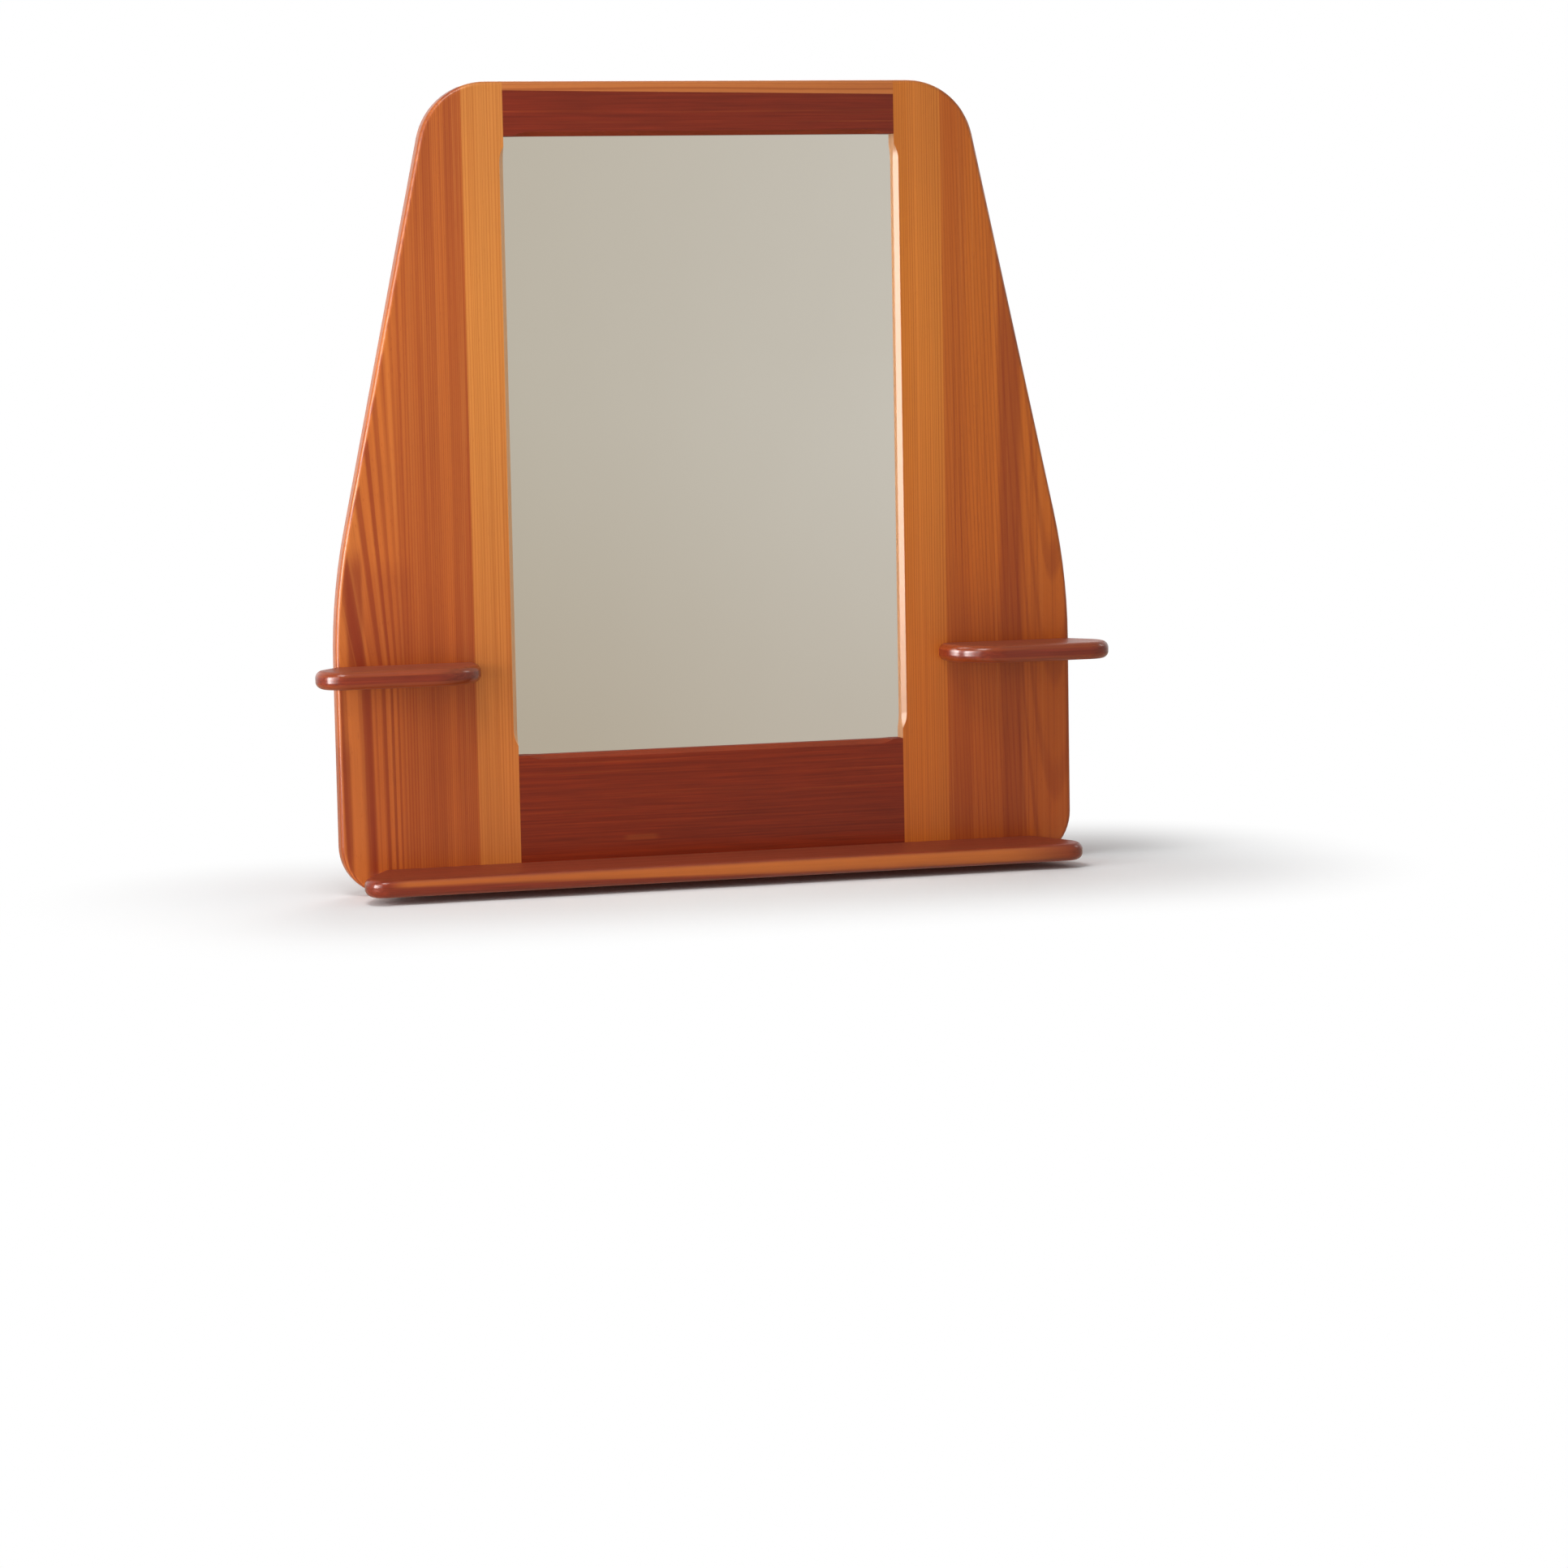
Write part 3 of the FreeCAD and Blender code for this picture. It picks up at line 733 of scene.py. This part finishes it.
class StageSettings(bpy.types.PropertyGroup):
    """Camera, lamps and floor."""

    camera_place: FloatVectorProperty(
        name="Camera place", description="Where the camera stands",
        subtype="TRANSLATION", unit="LENGTH", default=(-1.24338, -4.73289, -0.16156),
    )
    camera_turn: FloatVectorProperty(
        name="Camera turn", description="How the camera is turned",
        subtype="EULER", default=tuple(math.radians(a) for a in (83.7652, 1.0613, -15.8319)),
    )
    camera_lens: FloatProperty(
        name="Lens", description="Focal length in millimetres on a 36 mm sensor",
        unit="CAMERA", min=1.0, default=98.8,
    )
    window_power: power_setting("Window", "Power of the tall soft lamp on the left", 23.0)
    pane_power: power_setting("Pane", "Power of the narrow lamp that gives the edges their shine", 24.0)
    left_sheen: power_setting(
        "Left sheen", "Power of the wide lamp on the left that only lacquer and metal show", 53.0
    )
    right_sheen: power_setting(
        "Right sheen", "Power of the small lamp on the right that only lacquer and metal show", 4.0
    )
    upper_power: power_setting("Upper left", "Power of the soft lamp above on the left", 22.0)
    rear_power: power_setting("Rear", "Power of the soft lamp behind", 26.0)
    fill: FloatProperty(
        name="Fill", description="Strength of the even light from all round",
        subtype="FACTOR", min=0.0, max=1.0, default=0.33,
    )
    floor: colour_setting("Floor", "Colour of the floor", (0.86, 0.86, 0.86))
    near_tone: colour_setting(
        "Near tone", "What glass and metal show of the floor close by", shade(186, 174, 157)
    )
    left_tone: colour_setting(
        "Left tone", "What glass and metal show of the backdrop on the left", shade(186, 176, 158)
    )
    right_tone: colour_setting(
        "Right tone", "What glass and metal show of the backdrop on the right", shade(212, 207, 198)
    )


class WallMirrorSettings(bpy.types.PropertyGroup):
    """All settings of the mirror's looks."""

    boards: PointerProperty(name="Boards", description="Colours of the pine", type=BoardColours)
    stains: PointerProperty(name="Stains", description="Colours of the rails and shelves", type=StainColours)
    fittings: PointerProperty(name="Fittings", description="Colours of glass, back and metal", type=FittingColours)
    stage: PointerProperty(name="Stage", description="Camera, lamps and floor", type=StageSettings)


class WALLMIRROR_OT_side_boards(bpy.types.Operator):
    """Finish the two side boards, each glued up from an inner and an outer stave"""

    bl_idname = "wall_mirror.side_boards"
    bl_label = "Side boards"

    def execute(self, context):
        tone = context.scene.wall_mirror.boards
        for stave, look in STAVES.items():
            pale, dark = getattr(tone, stave + "_pale"), getattr(tone, stave + "_dark")
            lip_light = getattr(tone, stave + "_lip", None)
            dress(pine("pine_" + stave, pale, dark, lip_light=lip_light, **look), stave + "_stave")
        return {"FINISHED"}


class WALLMIRROR_OT_rails(bpy.types.Operator):
    """Finish the batten and the two stained rails"""

    bl_idname = "wall_mirror.rails"
    bl_label = "Rails and batten"

    def execute(self, context):
        stain = context.scene.wall_mirror.stains
        tone = context.scene.wall_mirror.boards
        for rail, rings in (("top_rail", TOP_RAIL_RINGS), ("bottom_rail", BOTTOM_RAIL_RINGS)):
            tint, deep = getattr(stain, rail + "_tint"), getattr(stain, rail + "_deep")
            dress(stained("stain_" + rail, tint, deep, stain.worn_and_lit, rings, rail_wear_and_highlight), rail)
        dress(pine("pine_batten", tone.batten_pale, tone.batten_dark, BATTEN_RINGS), "top_batten")
        return {"FINISHED"}


class WALLMIRROR_OT_shelves(bpy.types.Operator):
    """Finish the shelf along the foot and the two small side shelves"""

    bl_idname = "wall_mirror.shelves"
    bl_label = "Shelves"

    def execute(self, context):
        stain = context.scene.wall_mirror.stains
        colours = stain.shelf_tint, stain.shelf_deep, stain.worn_and_lit
        foot = stained("stain_bottom_shelf", *colours, FOOT_SHELF_RINGS, foot_wear_and_highlight, top_light=0.14, gloss=0.9)
        dress(foot, "bottom_shelf")
        sides = stained("stain_side_shelves", *colours, SIDE_SHELF_RINGS, rubbed_side, top_light=0.32, gloss=0.9)
        dress(sides, "left_side_shelf", "right_side_shelf")
        return {"FINISHED"}


class WALLMIRROR_OT_glass(bpy.types.Operator):
    """Silver the glass and paint its back"""

    bl_idname = "wall_mirror.glass"
    bl_label = "Mirror glass"

    def execute(self, context):
        tone = context.scene.wall_mirror.fittings
        dress(silvered("mirror_glass", tone.silver), "mirror_pane")
        return {"FINISHED"}


class WALLMIRROR_OT_back(bpy.types.Operator):
    """Finish the hardboard back and the dowels"""

    bl_idname = "wall_mirror.back"
    bl_label = "Back and dowels"

    def execute(self, context):
        tone = context.scene.wall_mirror.fittings
        dress(pressed_fibre("hardboard", tone.hardboard), "back_panel")
        dress(turned_beech("beech", tone.beech), "top_rail_dowels", "bottom_rail_dowels", "bottom_shelf_dowels")
        return {"FINISHED"}


class WALLMIRROR_OT_fittings(bpy.types.Operator):
    """Finish the hanger plates, the turn buttons and all screws"""

    bl_idname = "wall_mirror.fittings"
    bl_label = "Fittings"

    def execute(self, context):
        tone = context.scene.wall_mirror.fittings
        dress(
            zinc_plate("zinc_steel", tone.zinc), "left_hanger_plate", "right_hanger_plate", "turn_button_screws",
            "bottom_shelf_screws", "left_side_shelf_screws", "right_side_shelf_screws",
        )
        dress(
            old_brass("brass", tone.brass), "lower_left_turn_button", "upper_left_turn_button",
            "lower_right_turn_button", "upper_right_turn_button", "top_turn_button", "bottom_turn_button",
            "hanger_screws",
        )
        return {"FINISHED"}


def rays(bench):
    """1 for what the camera sees, and 1 for what glossy and clear surfaces show."""
    seen = bench.node("ShaderNodeLightPath")
    shown = (seen.out("Is Glossy Ray") + seen.out("Is Transmission Ray")).apply("MINIMUM", 1.0)
    return seen, shown


def backdrop_tone(bench, tone, x, y, white):
    """Tone of the backdrop by its direction: left, right, and white behind the object."""
    sideways = x / (x * x + y * y).apply("SQRT")
    colour = bench.mix(sideways.rise(*RIGHT_TONE_SIDE), tone.left_tone, tone.right_tone)
    return bench.mix(y.rise(*white), colour, WHITE)


class WALLMIRROR_OT_stage(bpy.types.Operator):
    """Set the floor, the lamps, the backdrop and the camera"""

    bl_idname = "wall_mirror.stage"
    bl_label = "Stage"

    def execute(self, context):
        scene = context.scene
        tone = scene.wall_mirror.stage
        self.floor(scene, tone)
        self.backdrop(scene, tone)
        for name, setting, place, target, size, only_shine in LAMPS:
            self.lamp(scene, name, getattr(tone, setting), place, target, size, only_shine)
        self.camera(scene, tone)
        scene.view_settings.view_transform = "Standard"
        return {"FINISHED"}

    @staticmethod
    def camera(scene, tone):
        """A camera at its place, sharp everywhere."""
        eye = bpy.data.cameras.new("camera")
        eye.sensor_width = SENSOR_WIDTH
        eye.lens = tone.camera_lens
        eye.dof.use_dof = False
        camera = bpy.data.objects.new("camera", eye)
        camera.location = tone.camera_place
        camera.rotation_euler = tone.camera_turn
        scene.collection.objects.link(camera)
        scene.camera = camera

    @staticmethod
    def lamp(scene, name, power, place, target, size, only_shine):
        """A soft rectangular lamp that looks at a point, seen by lacquer and metal alone if it is only for shine."""
        light = bpy.data.lights.new(name, "AREA")
        light.shape = "RECTANGLE"
        light.size, light.size_y = size
        light.energy = power
        lamp = bpy.data.objects.new(name, light)
        lamp.location = place
        lamp.rotation_euler = (Vector(target) - Vector(place)).to_track_quat("-Z", "Y").to_euler()
        lamp.visible_diffuse = not only_shine
        scene.collection.objects.link(lamp)

    @staticmethod
    def floor(scene, tone):
        """A round pale floor under the foot that fades to white and takes the object's shadow.

        Its corners stand at even turns round the upright axis, at the floor's radius and the foot's height.
        """
        turns = FULL_TURN * np.arange(FLOOR_CORNERS) / FLOOR_CORNERS
        heights = np.full(FLOOR_CORNERS, FOOT)
        corners = np.column_stack((FLOOR_RADIUS * np.cos(turns), FLOOR_RADIUS * np.sin(turns), heights))
        mesh = bpy.data.meshes.new("floor")
        mesh.from_pydata(corners.tolist(), [], [list(range(FLOOR_CORNERS))])
        floor = bpy.data.objects.new("floor", mesh)
        scene.collection.objects.link(floor)
        finish, bench = new_finish("floor")
        x, y, _ = bench.split(bench.spot())
        seen, shown = rays(bench)
        beside = (abs(x) - FOOT_HALF_WIDTH).apply("MAXIMUM", 0.0)
        before = (abs(y + FOOT_HALF_DEPTH) - FOOT_HALF_DEPTH).apply("MAXIMUM", 0.0)
        clear_of_foot = (beside * beside + before * before).apply("SQRT").rise(*SHADOW_FADE)
        near = NEAR_FLOOR / (NEAR_FLOOR + (x * x + y * y).apply("SQRT"))
        far_tone = backdrop_tone(bench, tone, x, y, WHITE_FLOOR)
        mirrored = bench.glow(bench.mix(0.7 * near.rise(0.1, 0.9), far_tone, tone.near_tone))
        matt = bench.node("ShaderNodeBsdfDiffuse", None, {"Color": rgba(tone.floor)})
        direct = bench.blend(seen * clear_of_foot, matt, bench.glow(WHITE))
        bench.node("ShaderNodeOutputMaterial", None, {"Surface": bench.blend(shown, direct, mirrored)})
        mesh.materials.append(finish)

    @staticmethod
    def backdrop(scene, tone):
        """White to the eye, the pale far tone in glass and metal, and an even fill light for the rest."""
        world = bpy.data.worlds.new("backdrop")
        world.use_nodes = True
        scene.world = world
        bench = Bench(world.node_tree)
        seen, shown = rays(bench)
        x, y, _ = bench.split(bench.node("ShaderNodeTexCoord", None, None, "Generated"))
        colour = bench.mix(shown, WHITE, backdrop_tone(bench, tone, x, y, WHITE_BACKDROP))
        strength = tone.fill + (1.0 - tone.fill) * (seen + shown).apply("MINIMUM", 1.0)
        shader = bench.node("ShaderNodeBackground", None, {"Color": colour, "Strength": strength})
        bench.node("ShaderNodeOutputWorld", None, {"Surface": shader})


OPERATORS = (
    WALLMIRROR_OT_side_boards,
    WALLMIRROR_OT_rails,
    WALLMIRROR_OT_shelves,
    WALLMIRROR_OT_glass,
    WALLMIRROR_OT_back,
    WALLMIRROR_OT_fittings,
    WALLMIRROR_OT_stage,
)


class WALLMIRROR_PT_sidebar(bpy.types.Panel):
    """Colours, lamps and steps of the wall mirror"""

    bl_idname = "WALLMIRROR_PT_sidebar"
    bl_label = "Wall mirror"
    bl_space_type = "VIEW_3D"
    bl_region_type = "UI"
    bl_category = "Wall mirror"

    def draw(self, context):
        settings = context.scene.wall_mirror
        for group in (settings.boards, settings.stains, settings.fittings, settings.stage):
            box = self.layout.box()
            for key in group.__annotations__:
                box.prop(group, key)
        for operator in OPERATORS:
            self.layout.operator(operator.bl_idname)


CLASSES = (
    BoardColours,
    StainColours,
    FittingColours,
    StageSettings,
    WallMirrorSettings,
    *OPERATORS,
    WALLMIRROR_PT_sidebar,
)


def register():
    for each in CLASSES:
        bpy.utils.register_class(each)
    bpy.types.Scene.wall_mirror = PointerProperty(type=WallMirrorSettings)


def unregister():
    del bpy.types.Scene.wall_mirror
    for each in reversed(CLASSES):
        bpy.utils.unregister_class(each)


def main():
    """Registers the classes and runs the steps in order."""
    register()
    bpy.ops.wall_mirror.side_boards()
    bpy.ops.wall_mirror.rails()
    bpy.ops.wall_mirror.shelves()
    bpy.ops.wall_mirror.glass()
    bpy.ops.wall_mirror.back()
    bpy.ops.wall_mirror.fittings()
    bpy.ops.wall_mirror.stage()


if __name__ == "__main__":
    main()
